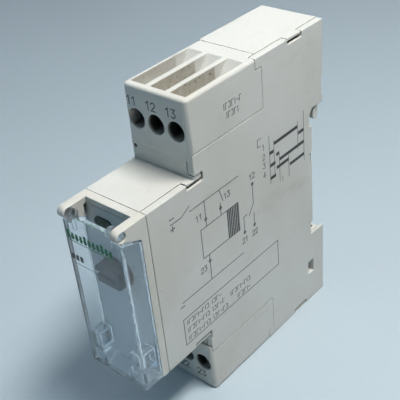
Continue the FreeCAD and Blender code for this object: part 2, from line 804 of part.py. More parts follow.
def make_boards():
    sub_part(block("front_board_plate", (-6.6, 6.4), ("board_front", "board_front + board_thickness"),
                   (-19.6, 19.6)), "front_board")
    sub_part(block("main_board_plate", ("main_board_left", "main_board_right"),
                   ("main_board_front", "main_board_rear"), ("-main_board_half", "main_board_half")),
             "main_board")
    pins = []
    for index in range(6):
        height = -9 + 2.54 * index
        pins.append(block("link_pin_%d" % index, (-5.45, -4.85),
                          ("board_front + board_thickness", "main_board_front + 3"),
                          (height, height + 0.6)))
    body = block("link_body", (-5.5, -3.2), ("board_front + board_thickness + 0.4", "main_board_front + 1.6"),
                 (-10, 5))
    return sub_part(fuse("link_whole", body, *pins), "board_link")


def make_relay():
    """A slim changeover relay: base, case, coil on its core, yoke, armature and contacts."""
    deep = ("relay_front", "relay_rear")
    tall = ("-relay_half", "relay_half")
    base = block("relay_base_plate", ("main_board_right", "main_board_right + 1.3"), deep, tall)
    sub_part(base, "relay_base")
    case = block("relay_case_box", ("main_board_right + 1.3", "relay_right"), deep, tall)
    room = block("relay_case_room", ("main_board_right + 1", "relay_right - relay_wall"),
                 ("relay_front + relay_wall", "relay_rear - relay_wall"),
                 ("-relay_half + relay_wall", "relay_half - relay_wall"))
    sub_part(cut("relay_case_cut", case, room), "relay_case")
    middle = "(relay_front + relay_rear) / 2"
    winding = rod("coil_winding", "Z", 3.2, (0.6, middle), -10.6, 2.4)
    lower_flange = rod("coil_lower_flange", "Z", 3.7, (0.6, middle), -11.4, -10.6)
    upper_flange = rod("coil_upper_flange", "Z", 3.7, (0.6, middle), 2.4, 3.2)
    bore = rod("coil_bore", "Z", 1.4, (0.6, middle), -12, 4)
    sub_part(cut("coil_cut", fuse("coil_blank", winding, lower_flange, upper_flange), bore), "relay_coil")
    core = rod("core_pole", "Z", 1.4, (0.6, middle), -11.9, 3.8)
    back = block("yoke_back", (4.7, 5.7), (-19.6, -14.4), (-12.8, 3.9))
    foot = block("yoke_foot", (-1.4, 5.7), (-19.6, -14.4), (-12.8, -11.8))
    sub_part(fuse("yoke_whole", core, back, foot), "relay_yoke")
    armature = block("armature_plate", (-2.6, 5.6), (-19.6, -14.4), (4.35, 5.25))
    pivot = rod("armature_pivot", "Y", 0.4, (5.2, 4.35), -19.6, -14.4)
    sub_part(fuse("armature_whole", armature, pivot), "relay_armature")
    blade = block("contact_blade", (-2.6, -2.3), (-18.6, -15.4), (5.25, 11.4))
    button = rod("contact_button", "X", 0.9, (middle, 10.2), -2.75, -1.95)
    sub_part(fuse("moving_contact_whole", blade, button), "relay_moving_contact")
    plates = []
    for word, low, button_low, button_high in (
            ("closing", -3.95, -3.65, -3.2),
            ("resting", -1.25, -1.8, -1.25)):
        plate = block("fixed_plate_" + word, (low, low + 0.3), (-18.6, -15.4), (6.6, 13.4))
        pad = rod("fixed_button_" + word, "X", 0.9, (middle, 10.2), button_low, button_high)
        plates.append(fuse("fixed_contact_" + word, plate, pad))
    return sub_part(group("fixed_contacts", *plates), "relay_fixed_contacts")


def make_components():
    """The other parts soldered to the boards."""
    face = "main_board_right"
    sub_part(block("film_block", (face, "main_board_right + 8.6"), (-35.5, -25.5), (-17.5, 0.5)),
             "film_capacitor")
    tall_can = rod("tall_can", "X", 4.0, (-42, -13.5), face, "main_board_right + 11.5")
    vent = rod("tall_can_vent", "X", 2.6, (-42, -13.5), "main_board_right + 11.2", "main_board_right + 12")
    sub_part(cut("tall_can_cut", tall_can, vent), "smoothing_capacitor")
    sub_part(rod("short_can", "X", 2.5, (-30.5, 6.5), face, "main_board_right + 7"), "coupling_capacitor")
    sub_part(block("varistor_disc_body", (face, "main_board_right + 7.6"), (-44.6, -41.4), (8.5, 16.1)),
             "varistor")
    sub_part(block("chip_body", (face, "main_board_right + 1.6"), (-42, -37), (-5, 5)), "timing_chip")
    sub_part(block("front_chip_body", (-3, 3),
                   ("board_front + board_thickness", "board_front + board_thickness + 1.4"),
                   (-13, -6)), "display_driver_chip")
    resistors = [rod("resistor_%d" % index, "Z", 1.15,
                     ("main_board_right + 1.2", -36.5 + 3.6 * index), 10.4, 16.8)
                 for index in range(4)]
    sub_part(group("resistor_set", *resistors), "resistors")
    diodes = [rod("rectifier_%d" % index, "Z", 1.3, ("main_board_right + 1.4", -9.2 + 3.4 * index), -5, 0.2)
              for index in range(2)]
    return sub_part(group("rectifier_set", *diodes), "rectifier_diodes")


make_shell()
make_lid()
make_cap(1, "upper_terminal_cover")
make_cap(-1, "lower_terminal_cover")
for terminal in TERMINALS:
    make_screw(*terminal)
    make_clamp(*terminal)
    make_bar(*terminal)
make_clip()
make_spring()
make_bezel()
make_fascia()
make_cover()
make_knob()
make_potentiometer()
make_lamp()
make_boards()
make_relay()
make_components()
doc.recompute()

faults = []
for item in doc.Objects:
    if "Invalid" in item.State or "Error" in item.State:
        faults.append("%s: %s" % (item.Label, item.State))
for item in sub_parts:
    if item.Shape.isNull() or not item.Shape.isValid() or not item.Shape.Solids:
        faults.append("%s: no valid solid" % item.Label)
if faults:
    raise RuntimeError("; ".join(faults))

os.makedirs("parts", exist_ok=True)
for item in sub_parts:
    item.Shape.exportStep("parts/%s.step" % item.Label)
    print("%-26s solids %d volume %.1f" % (item.Label, len(item.Shape.Solids), item.Shape.Volume))
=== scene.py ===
"""Looks, light and camera for the DIN rail timer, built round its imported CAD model."""

import math

import bpy
import bmesh
from mathutils import Matrix, Vector


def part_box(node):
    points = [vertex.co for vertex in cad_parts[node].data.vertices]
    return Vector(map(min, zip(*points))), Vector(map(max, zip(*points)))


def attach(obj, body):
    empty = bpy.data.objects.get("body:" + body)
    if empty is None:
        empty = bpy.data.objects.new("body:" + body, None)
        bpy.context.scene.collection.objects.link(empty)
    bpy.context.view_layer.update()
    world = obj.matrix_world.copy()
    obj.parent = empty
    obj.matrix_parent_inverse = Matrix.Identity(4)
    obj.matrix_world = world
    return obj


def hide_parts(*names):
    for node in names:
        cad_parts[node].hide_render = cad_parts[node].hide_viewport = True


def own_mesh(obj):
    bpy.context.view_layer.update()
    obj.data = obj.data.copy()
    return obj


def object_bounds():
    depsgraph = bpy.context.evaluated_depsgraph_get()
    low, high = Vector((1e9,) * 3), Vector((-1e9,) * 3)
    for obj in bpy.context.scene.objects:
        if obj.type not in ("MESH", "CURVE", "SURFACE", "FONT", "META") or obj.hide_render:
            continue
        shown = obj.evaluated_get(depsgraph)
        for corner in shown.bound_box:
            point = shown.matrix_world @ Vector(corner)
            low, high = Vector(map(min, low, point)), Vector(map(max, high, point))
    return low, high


MM = 0.001

# Prints stand this far out of the surface and reach this far into it.
INK_PROUD = 0.012 * MM
INK_SUNK = 0.004 * MM
# A numeral's width and the step to the next one, in shares of its height.
FIGURE_WIDTH = 0.58
FIGURE_STEP = 0.78
DOT_SIDES = 20

# ---------------------------------------------------------------- shader tools


def new_material(name):
    """An empty node material and its output node."""
    material = bpy.data.materials.new(name)
    material.use_nodes = True
    material.node_tree.nodes.clear()
    output = material.node_tree.nodes.new("ShaderNodeOutputMaterial")
    return material, output


def node(material, kind, inputs=None, **settings):
    """A shader node with its settings, and each input either linked or set."""
    made = material.node_tree.nodes.new(kind)
    for key, value in settings.items():
        setattr(made, key, value)
    for key, value in (inputs or {}).items():
        if isinstance(value, bpy.types.NodeSocket):
            material.node_tree.links.new(value, made.inputs[key])
        else:
            made.inputs[key].default_value = value
    return made


def object_position(material):
    """Where a point is on its piece, in metres."""
    return node(material, "ShaderNodeTexCoord").outputs["Object"]


def stretched(material, position, scale):
    """position with each axis scaled, for grain that runs one way."""
    return node(material, "ShaderNodeMapping", {"Vector": position, "Scale": scale}).outputs["Vector"]


def noise(material, position, scale, detail=3.0, roughness=0.55):
    """Soft noise from 0 to 1, with scale in features per metre."""
    inputs = {"Vector": position, "Scale": scale, "Detail": detail, "Roughness": roughness}
    return node(material, "ShaderNodeTexNoise", inputs).outputs["Fac"]


def remap(material, value, low, high, out_low=0.0, out_high=1.0):
    """value stretched from low..high to out_low..out_high and held there."""
    inputs = {"Value": value, "From Min": low, "From Max": high, "To Min": out_low, "To Max": out_high}
    return node(material, "ShaderNodeMapRange", inputs).outputs["Result"]


def arithmetic(material, operation, first, second):
    """One sum of two values."""
    return node(material, "ShaderNodeMath", {0: first, 1: second}, operation=operation).outputs["Value"]


def blend_colour(material, factor, first, second):
    """Colour first turning into second as factor goes from 0 to 1."""
    made = node(material, "ShaderNodeMix", data_type="RGBA")
    for socket, value in ((made.inputs[0], factor), (made.inputs[6], first), (made.inputs[7], second)):
        if isinstance(value, bpy.types.NodeSocket):
            material.node_tree.links.new(value, socket)
        elif isinstance(value, tuple):
            socket.default_value = (*value, 1.0)
        else:
            socket.default_value = value
    return made.outputs[2]


def bumped(material, height, strength, distance, normal=None):
    """A normal roughened by height."""
    inputs = {"Height": height, "Strength": strength, "Distance": distance}
    if normal is not None:
        inputs["Normal"] = normal
    return node(material, "ShaderNodeBump", inputs).outputs["Normal"]


def edge_mask(material, radius):
    """1 on edges and corners sharper than radius, 0 on flats, with the rounded normal."""
    soft = node(material, "ShaderNodeBevel", {"Radius": radius}, samples=6).outputs["Normal"]
    plain = node(material, "ShaderNodeNewGeometry").outputs["Normal"]
    facing = node(material, "ShaderNodeVectorMath", {0: soft, 1: plain}, operation="DOT_PRODUCT")
    return remap(material, facing.outputs["Value"], 0.995, 0.86), soft


def crevice_shade_mask(material, reach):
    """1 deep in seams and slots narrower than reach, 0 on open faces; it sets where shade is painted."""
    shade = node(material, "ShaderNodeAmbientOcclusion", {"Distance": reach}, samples=8).outputs["AO"]
    return remap(material, shade, 0.62, 0.22)


def finish(material, output, settings):
    """A Principled shader with these inputs on the material's output."""
    shader = node(material, "ShaderNodeBsdfPrincipled", settings)
    material.node_tree.links.new(shader.outputs["BSDF"], output.inputs["Surface"])


# ------------------------------------------------------------------- materials


def moulded_plastic(name, pale, aged, worn_and_lit, roughness=0.5, grain=1.0, grime=0.25):
    """Moulded plastic: a spark-eroded grain, uneven ageing, faint handling marks, painted shade in seams
    and slots, and edges lightened partly by rubbed wear and partly as a painted highlight.
    """
    material, output = new_material(name)
    position = object_position(material)
    ageing = remap(material, noise(material, position, 34, 2), 0.35, 0.7)
    mottle = remap(material, noise(material, position, 900, 4), 0.3, 0.75, 0.0, 0.35)
    colour = blend_colour(material, ageing, pale, aged)
    colour = blend_colour(material, mottle, colour, aged)
    smears = noise(material, stretched(material, position, (1.0, 0.35, 1.0)), 150, 5, 0.7)
    smears = remap(material, smears, 0.58, 0.8, 0.0, grime)
    colour = blend_colour(material, smears, colour, (0.30, 0.27, 0.22))
    specks = remap(material, noise(material, position, 1500, 2), 0.72, 0.78, 0.0, grime * 1.6)
    colour = blend_colour(material, specks, colour, (0.16, 0.14, 0.11))
    # Painted shade, with a little brown grime: seams, slots and inside corners darken by how closed in they
    # are.
    seams = arithmetic(material, "MULTIPLY", crevice_shade_mask(material, 1.4 * MM), 0.93)
    colour = blend_colour(material, seams, colour, (0.045, 0.032, 0.022))
    # Edges and corners lighten in patches towards the edge colour: partly rubbed wear, partly a painted
    # highlight where rounded edges catch the light.
    edges, soft = edge_mask(material, 0.3 * MM)
    chipping = remap(material, noise(material, position, 420, 3), 0.3, 0.6)
    colour = blend_colour(material, arithmetic(material, "MULTIPLY", edges, chipping), colour, worn_and_lit)
    grain_height = noise(material, position, 5200, 3, 0.6)
    normal = bumped(material, grain_height, 0.22 * grain, 0.05 * MM, soft)
    shine = remap(material, noise(material, position, 260, 4), 0.3, 0.7, roughness - 0.07, roughness + 0.08)
    finish(material, output, {"Base Color": colour, "Roughness": shine, "Normal": normal,
                              "Specular IOR Level": 0.42})
    return material


def box_mask(material, position, space, soft):
    """1 inside a box given as (axis, low, high) rows, fading to 0 at its faces over soft."""
    parts = node(material, "ShaderNodeSeparateXYZ", {"Vector": position})
    inside = None
    for axis, low, high in space:
        middle, reach = (low + high) / 2, (high - low) / 2
        offset = arithmetic(material, "SUBTRACT", parts.outputs[axis], middle)
        within = remap(material, arithmetic(material, "ABSOLUTE", offset, 0.0), reach, reach - soft)
        inside = within if inside is None else arithmetic(material, "MULTIPLY", inside, within)
    return inside


def funnel_plastic(name, pale, aged, worn_and_lit, mouth, holes):
    """Moulded plastic that is dusty inside the box mouth, with painted shade darkening the inside of the
    box holes.
    """
    material = moulded_plastic(name, pale, aged, worn_and_lit)
    shader = next(n for n in material.node_tree.nodes if n.type == "BSDF_PRINCIPLED")
    plain = shader.inputs["Base Color"].links[0].from_socket
    position = object_position(material)
    # Painted shade: the insides of the driver holes are darkened almost to black.
    hole_shade = arithmetic(material, "MULTIPLY", box_mask(material, position, holes, 0.9 * MM), 0.93)
    plain = blend_colour(material, hole_shade, plain, (0.012, 0.012, 0.011))
    inside = box_mask(material, position, mouth, 0.3 * MM)
    dust = remap(material, noise(material, position, 420, 5, 0.7), 0.3, 0.62, 0.45, 0.95)
    dust = arithmetic(material, "MULTIPLY", inside, dust)
    colour = blend_colour(material, dust, plain, (0.42, 0.39, 0.32))
    grit = remap(material, noise(material, position, 980, 4, 0.65), 0.6, 0.68, 0.0, 0.9)
    grit = arithmetic(material, "MULTIPLY", inside, grit)
    colour = blend_colour(material, grit, colour, (0.15, 0.11, 0.075))
    material.node_tree.links.new(colour, shader.inputs["Base Color"])
    return material


def clear_plastic(name):
    """Clear polycarbonate with fine scratches and smears, which lets lamps reach what it covers."""
    material, output = new_material(name)
    position = object_position(material)
    scratches = noise(material, stretched(material, position, (1.0, 1.0, 0.06)), 2600, 4, 0.7)
    smears = noise(material, position, 120, 4, 0.6)
    shine = remap(material, smears, 0.35, 0.75, 0.015, 0.11)
    ripple = arithmetic(material, "ADD", arithmetic(material, "MULTIPLY", scratches, 0.25), smears)
    normal = bumped(material, ripple, 0.03, 0.02 * MM)
    glass = node(material, "ShaderNodeBsdfPrincipled", {
        "Base Color": (0.93, 0.965, 0.98, 1.0), "Roughness": shine, "IOR": 1.36,
        "Transmission Weight": 0.95, "Normal": normal})
    pass_through = node(material, "ShaderNodeBsdfTransparent", {"Color": (0.86, 0.90, 0.93, 1.0)})
    paths = node(material, "ShaderNodeLightPath")
    # Light that has crossed many walls goes straight on, as thin clear plastic leaves no black edges.
    spent = arithmetic(material, "GREATER_THAN", paths.outputs["Ray Depth"], 3.5)
    straight = arithmetic(material, "MAXIMUM", paths.outputs["Is Shadow Ray"], spent)
    mix = node(material, "ShaderNodeMixShader", {
        0: straight, 1: glass.outputs["BSDF"], 2: pass_through.outputs["BSDF"]})
    material.node_tree.links.new(mix.outputs["Shader"], output.inputs["Surface"])
    return material


def metal(name, pale, dull, roughness, brushing=(1.0, 1.0, 1.0), tarnish=0.35):
    """Plated or bare metal, brushed one way, with dull patches."""
    material, output = new_material(name)
    position = object_position(material)
    dull_patch = remap(material, noise(material, position, 700, 4, 0.65), 0.42, 0.7, 0.0, tarnish)
    brushed = noise(material, stretched(material, position, brushing), 5200, 4, 0.6)
    colour = blend_colour(material, dull_patch, pale, dull)
    colour = blend_colour(material, remap(material, brushed, 0.3, 0.7, 0.0, 0.18), colour, dull)
    edges, soft = edge_mask(material, 0.1 * MM)
    colour = blend_colour(material, edges, colour, pale)
    shine = remap(material, brushed, 0.3, 0.7, roughness - 0.06, roughness + 0.1)
    normal = bumped(material, brushed, 0.18, 0.02 * MM, soft)
    finish(material, output, {"Base Color": colour, "Metallic": 1.0, "Roughness": shine, "Normal": normal})
    return material


def circuit_laminate(name):
    """Solder-masked board with tracks showing through as paler lines."""
    material, output = new_material(name)
    position = object_position(material)
    flow = noise(material, position, 140, 1)
    wave = {"Vector": position, "Scale": 260.0, "Distortion": 2.5, "Detail": 0.0}
    bands = node(material, "ShaderNodeTexWave", wave, bands_direction="Z").outputs["Fac"]
    bands = remap(material, bands, 0.62, 0.7)
    tracks = arithmetic(material, "MULTIPLY", bands, remap(material, flow, 0.4, 0.5))
    weave = noise(material, stretched(material, position, (1.0, 0.2, 1.0)), 2400, 2)
    mottle = remap(material, weave, 0.3, 0.7)
    colour = blend_colour(material, mottle, (0.015, 0.10, 0.045), (0.022, 0.13, 0.06))
    colour = blend_colour(material, tracks, colour, (0.06, 0.26, 0.10))
    normal = bumped(material, tracks, 0.3, 0.04 * MM)
    shine = remap(material, weave, 0.3, 0.7, 0.25, 0.36)
    finish(material, output, {"Base Color": colour, "Roughness": shine, "Normal": normal})
    return material


def lens_plastic(name):
    """The dark lens over the indicator, unlit, with a soft green body."""
    material, output = new_material(name)
    position = object_position(material)
    depth = remap(material, noise(material, position, 900, 2), 0.3, 0.7)
    colour = blend_colour(material, depth, (0.004, 0.012, 0.006), (0.01, 0.035, 0.015))
    shine = remap(material, noise(material, position, 300, 3), 0.3, 0.7, 0.06, 0.16)
    finish(material, output, {"Base Color": colour, "Roughness": shine, "Specular IOR Level": 0.3})
    return material


def ink(name, colour, faded):
    """Pad-printed ink: slightly patchy, with pinholes of a paler tone."""
    material, output = new_material(name)
    position = object_position(material)
    patchy = remap(material, noise(material, position, 1300, 4, 0.7), 0.45, 0.75, 0.0, 0.7)
    tone = blend_colour(material, patchy, colour, faded)
    shine = remap(material, noise(material, position, 500, 2), 0.3, 0.7, 0.42, 0.6)
    finish(material, output, {"Base Color": tone, "Roughness": shine})
    return material


def studio_paper(name):
    """The plain pale floor, with a barely visible paper fibre."""
    material, output = new_material(name)
    position = object_position(material)
    fibre = noise(material, position, 900, 5, 0.6)
    cloud = noise(material, position, 6, 2)
    cloud = remap(material, cloud, 0.3, 0.7)
    colour = blend_colour(material, cloud, (0.47, 0.56, 0.62), (0.50, 0.59, 0.65))
    threads = remap(material, fibre, 0.4, 0.7, 0.0, 0.12)
    colour = blend_colour(material, threads, colour, (0.43, 0.51, 0.57))
    normal = bumped(material, fibre, 0.12, 0.05 * MM)
    finish(material, output, {"Base Color": colour, "Roughness": 0.75, "Normal": normal})
    return material


# ------------------------------------------------------------------ mesh tools


def add_piece(name, mesh, body, material):
    """A new piece from a bmesh, riding on a body."""
    data = bpy.data.meshes.new(name)
    mesh.to_mesh(data)
    mesh.free()
    piece = bpy.data.objects.new(name, data)
    bpy.context.scene.collection.objects.link(piece)
    data.materials.append(material)
    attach(piece, body)
    return piece


class Printer:
    """Draws thin raised shapes on a flat face. Across and up are unit vectors in the face."""

    def __init__(self, origin, across, up):
        self.origin = Vector(origin)
        self.across = Vector(across)
        self.up = Vector(up)
        self.out = self.across.cross(self.up)
        self.mesh = bmesh.new()

    def place(self, point, height):
        """A point of the drawing, in mm, at a height over the face."""
        return self.origin + self.across * (point[0] * MM) + self.up * (point[1] * MM) + self.out * height

    def patch(self, corners):
        """A filled shape with the given corners, counter-clockwise."""
        top = [self.mesh.verts.new(self.place(c, INK_PROUD)) for c in corners]
        low = [self.mesh.verts.new(self.place(c, -INK_SUNK)) for c in corners]
        self.mesh.faces.new(top)
        self.mesh.faces.new(list(reversed(low)))
        for i in range(len(corners)):
            j = (i + 1) % len(corners)
            self.mesh.faces.new((low[i], low[j], top[j], top[i]))

    def line(self, points, width):
        """A line of even width through the points."""
        for start, end in zip(points, points[1:]):
            along = (Vector(end) - Vector(start)).normalized() * (width / 2)
            side = Vector((-along.y, along.x))
            first = Vector(start) - along
            last = Vector(end) + along
            self.patch([first - side, last - side, last + side, first + side])

    def box(self, low, high):
        """A filled rectangle."""
        self.patch([low, (high[0], low[1]), high, (low[0], high[1])])

    def dot(self, centre, radius):
        """A filled disc."""
        self.patch(arc(centre, radius, 0, 360, DOT_SIDES)[:-1])

    def digits(self, text, centre, height, width):
        """Plain numerals centred on a point."""
        step = FIGURE_STEP * height
        left = centre[0] - step * (len(text) - 1) / 2 - FIGURE_WIDTH * height / 2
        low = centre[1] - height / 2
        for index, figure in enumerate(text):
            start = left + index * step
            for stroke in FIGURES[figure]:
                self.line([(start + x * height, low + y * height) for x, y in stroke], width)

    def finish(self, name, body, material):
        """Turns the drawing into a piece on a body."""
        add_piece(name, self.mesh, body, material)


def arc(centre, radius, start, end, steps=6):
    """Points along part of a circle, with angles in degrees."""
    turns = [math.radians(start + (end - start) * i / steps) for i in range(steps + 1)]
    return [(centre[0] + radius * math.cos(t), centre[1] + radius * math.sin(t)) for t in turns]


# Strokes of each numeral that is printed, in a cell FIGURE_WIDTH wide and 1 high.
FIGURES = {
    "1": [[(0.08, 0.76), (0.34, 1.0), (0.34, 0.0)]],
    "2": [arc((0.29, 0.72), 0.28, 170, -35) + [(0.0, 0.0), (FIGURE_WIDTH, 0.0)]],
    "3": [[(0.03, 1.0), (0.55, 1.0), (0.27, 0.6)] + arc((0.27, 0.3), 0.3, 90, -150)],
    "4": [[(0.42, 0.0), (0.42, 1.0), (0.0, 0.3), (FIGURE_WIDTH, 0.3)]],
}


# ------------------------------------------------------------- load the frame

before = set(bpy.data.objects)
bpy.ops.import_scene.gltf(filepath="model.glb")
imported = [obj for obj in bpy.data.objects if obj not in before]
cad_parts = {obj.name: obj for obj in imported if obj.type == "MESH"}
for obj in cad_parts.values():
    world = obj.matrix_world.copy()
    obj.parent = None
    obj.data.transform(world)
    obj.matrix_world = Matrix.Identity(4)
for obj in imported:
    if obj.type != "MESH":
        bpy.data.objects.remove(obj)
cad_low, cad_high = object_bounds()

IVORY = (0.68, 0.685, 0.655)
IVORY_AGED = (0.60, 0.59, 0.54)
# The edge colour: partly rubbed wear, partly a painted highlight on rounded edges.
IVORY_WORN_AND_LIT = (0.88, 0.87, 0.80)

cap_low, cap_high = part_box("upper_terminal_cover")
CAP_WALL = 0.8 * MM
FUNNEL_DEPTH = 4.7 * MM
FUNNEL_BRIM = 0.12 * MM
# From the cover's front to the funnels, and from their slopes to the cover's rear.
FUNNEL_FRONT = 1.4 * MM
FUNNEL_REAR = 9.0 * MM
# How far round and into the driver holes the painted shade reaches.
HOLE_REACH = 2.9 * MM
HOLE_DEPTH = 9.0 * MM


def funnel_mouth(side):
    """The space of one row of wire funnels, as (axis, low, high) for each axis."""
    heights = (side * (cap_high.z - FUNNEL_DEPTH), side * (cap_high.z - FUNNEL_BRIM))
    return (
        (0, cap_low.x + CAP_WALL, cap_high.x - CAP_WALL),
        (1, cap_low.y + FUNNEL_FRONT, cap_high.y - FUNNEL_REAR),
        (2, min(heights), max(heights)),
    )


def driver_holes(side):
    """The space of one row of driver holes, where shade is painted, as (axis, low, high) for each axis."""
    screw_low, screw_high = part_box("terminal_screw_a1")
    row = side * (screw_low.z + screw_high.z) / 2
    return (
        (0, cap_low.x + CAP_WALL, cap_high.x - CAP_WALL),
        (1, cap_low.y, cap_low.y + HOLE_DEPTH),
        (2, row - HOLE_REACH, row + HOLE_REACH),
    )


housing_plastic = moulded_plastic("housing_plastic", IVORY, IVORY_AGED, IVORY_WORN_AND_LIT, grime=0.32)
bezel_plastic = moulded_plastic("bezel_plastic", (0.685, 0.68, 0.635), (0.60, 0.58, 0.515), IVORY_WORN_AND_LIT,
                                grime=0.45)
upper_cap_plastic = funnel_plastic("upper_cap_plastic", IVORY, IVORY_AGED, IVORY_WORN_AND_LIT,
                                   funnel_mouth(1), driver_holes(1))
lower_cap_plastic = funnel_plastic("lower_cap_plastic", IVORY, IVORY_AGED, IVORY_WORN_AND_LIT,
                                   funnel_mouth(-1), driver_holes(-1))
cover_plastic = clear_plastic("cover_plastic")
fascia_plastic = moulded_plastic("fascia_plastic", (0.58, 0.59, 0.59), (0.52, 0.53, 0.53),
                                 (0.66, 0.67, 0.67), 0.55, 0.5, 0.1)
knob_plastic = moulded_plastic("knob_plastic", (0.016, 0.019, 0.022), (0.012, 0.014, 0.016),
                               (0.045, 0.05, 0.053), 0.5, 0.8, 0.04)
clip_plastic = moulded_plastic("clip_plastic", (0.55, 0.53, 0.48), (0.47, 0.45, 0.40), (0.68, 0.66, 0.6))
black_plastic = moulded_plastic("black_plastic", (0.022, 0.022, 0.024), (0.03, 0.03, 0.031),
                                (0.07, 0.07, 0.07), 0.45, 1.0, 0.05)
relay_plastic = moulded_plastic("relay_plastic", (0.03, 0.06, 0.18), (0.035, 0.06, 0.15),
                                (0.09, 0.13, 0.27), 0.35, 0.6, 0.05)
blue_lacquer = moulded_plastic("blue_lacquer", (0.03, 0.11, 0.42), (0.04, 0.12, 0.36), (0.1, 0.2, 0.5),
                               0.28, 1.4, 0.05)
yellow_epoxy = moulded_plastic("yellow_epoxy", (0.62, 0.40, 0.04), (0.54, 0.35, 0.05), (0.75, 0.55, 0.15),
                               0.35, 0.6, 0.08)
indicator_plastic = lens_plastic("indicator_plastic")
laminate = circuit_laminate("laminate")
zinc = metal("zinc", (0.40, 0.40, 0.39), (0.10, 0.095, 0.085), 0.42, tarnish=0.8)
dull_steel = metal("dull_steel", (0.17, 0.17, 0.165), (0.05, 0.048, 0.044), 0.4, tarnish=0.6)
spring_steel = metal("spring_steel", (0.58, 0.58, 0.57), (0.32, 0.31, 0.30), 0.3, (1.0, 1.0, 0.2), 0.2)
brass = metal("brass", (0.78, 0.55, 0.24), (0.42, 0.26, 0.11), 0.32, (1.0, 0.15, 1.0), 0.4)
copper_winding = metal("copper_winding", (0.72, 0.32, 0.16), (0.38, 0.14, 0.07), 0.38,
                       (0.02, 0.02, 1.0), 0.2)
dark_ink = ink("dark_ink", (0.03, 0.03, 0.033), (0.10, 0.098, 0.10))
grey_ink = ink("grey_ink", (0.13, 0.13, 0.135), (0.27, 0.265, 0.26))
numeral_ink = ink("numeral_ink", (0.06, 0.063, 0.07), (0.16, 0.16, 0.165))
scale_ink = ink("scale_ink", (0.22, 0.23, 0.24), (0.36, 0.37, 0.37))
green_ink = ink("green_ink", (0.015, 0.20, 0.075), (0.04, 0.28, 0.12))

TERMINALS = ("a1", "c15", "y1", "c16", "c18", "a2")
FINISHES = {
    housing_plastic: ("housing_shell", "side_lid"),
    bezel_plastic: ("front_bezel",),
    upper_cap_plastic: ("upper_terminal_cover",),
    lower_cap_plastic: ("lower_terminal_cover",),
    cover_plastic: ("clear_cover",),
    fascia_plastic: ("front_fascia",),
    knob_plastic: ("time_knob", "potentiometer_rotor"),
    clip_plastic: ("rail_clip",),
    black_plastic: ("timing_chip", "display_driver_chip", "board_link", "rectifier_diodes",
                    "smoothing_capacitor", "coupling_capacitor", "potentiometer_body", "relay_base"),
    relay_plastic: ("relay_case",),
    blue_lacquer: ("varistor", "resistors"),
    yellow_epoxy: ("film_capacitor",),
    indicator_plastic: ("indicator_lens", "indicator_led"),
    laminate: ("main_board", "front_board"),
    zinc: ("relay_yoke", "relay_armature", *("clamp_cage_" + t for t in TERMINALS)),
    dull_steel: tuple("terminal_screw_" + t for t in TERMINALS),
    spring_steel: ("clip_spring",),
    brass: ("relay_moving_contact", "relay_fixed_contacts", *("contact_bar_" + t for t in TERMINALS)),
    copper_winding: ("relay_coil",),
}
# Edge rounding of the visible mouldings, in mm.
ROUNDING = {
    "housing_shell": 0.22, "side_lid": 0.22, "front_bezel": 0.2, "upper_terminal_cover": 0.2,
    "lower_terminal_cover": 0.2, "clear_cover": 0.18, "time_knob": 0.2, "rail_clip": 0.2,
}


def soften_edges(name, width):
    """Merges a node's flat facets and rounds its sharp edges, without touching its mesh."""
    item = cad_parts[name]
    weld = item.modifiers.new("weld", "WELD")
    weld.merge_threshold = 0.001 * MM
    flats = item.modifiers.new("flats", "DECIMATE")
    flats.decimate_type = "DISSOLVE"
    flats.angle_limit = math.radians(0.6)
    bevel = item.modifiers.new("bevel", "BEVEL")
    bevel.width = width * MM
    bevel.segments = 2
    bevel.limit_method = "ANGLE"
    bevel.angle_limit = math.radians(38)
    bevel.harden_normals = True
    bevel.miter_outer = "MITER_ARC"


for material, names in FINISHES.items():
    for name in names:
        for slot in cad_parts[name].material_slots:
            slot.material = material
for name, width in ROUNDING.items():
    soften_edges(name, width)

# --------------------------------------------------------------- clip spring


def coil_height(turn, turns, wire, low, high):
    """Height of a closed-end coil's centre line after some turns."""
    if turn <= 1:
        return low + 2 * wire * turn
    if turn >= turns - 1:
        return high - 2 * wire * (turns - turn)
    first, last = low + 2 * wire, high - 2 * wire
    return first + (last - first) * (turn - 1) / (turns - 2)


def wind_spring():
    """The rail clip's spring, wound with closed ends."""
    low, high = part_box("clip_spring")
    wire = 0.2 * MM
    turns, steps, sides = 10, 28, 10
    middle = (low + high) / 2
    radius = (high.x - low.x) / 2 - wire
    mesh = bmesh.new()
    rings = []
    for step in range(turns * steps + 1):
        turn = step / steps
        angle = 2 * math.pi * turn
        out = Vector((math.cos(angle), math.sin(angle), 0.0))
        height = coil_height(turn, turns, wire, low.z + wire, high.z - wire)
        centre = Vector((middle.x, middle.y, height)) + out * radius
        ring = []
        for side in range(sides):
            around = 2 * math.pi * side / sides
            ring.append(mesh.verts.new(centre + out * (wire * math.cos(around))
                                       + Vector((0.0, 0.0, wire * math.sin(around)))))
        rings.append(ring)
    for near, far in zip(rings, rings[1:]):
        for side in range(sides):
            beside = (side + 1) % sides
            mesh.faces.new((near[side], far[side], far[beside], near[beside]))
    mesh.faces.new(rings[0])
    mesh.faces.new(list(reversed(rings[-1])))
    bmesh.ops.recalc_face_normals(mesh, faces=mesh.faces)
    for face in mesh.faces:
        face.smooth = len(face.verts) == 4
    spring = add_piece("rail_clip_coil", mesh, "housing", spring_steel)
    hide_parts("clip_spring")
    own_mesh(spring)


wind_spring()

# ------------------------------------------------------- print on the side lid

# The drawing is set out in mm, across from the rail seat and up from the middle.
LID_FACE = (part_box("side_lid")[1].x, 0.0, 0.0)
ACROSS_LID = (0.0, 1.0, 0.0)
ACROSS_FRONT = (1.0, 0.0, 0.0)
UPWARDS = (0.0, 0.0, 1.0)

# Stroke widths in mm: diagram lines, signal bars, guide lines, small marks.
THIN = 0.26
BAR = 0.9
GUIDE = 0.2
MARK = 0.24
# Height in mm of the small numerals in the diagrams.
SMALL_NUMERAL = 1.5

LINE_TOP = 15.9
LINE_LOW = -6.4
COIL_TOP = 9.0
COIL_LOW = 1.0


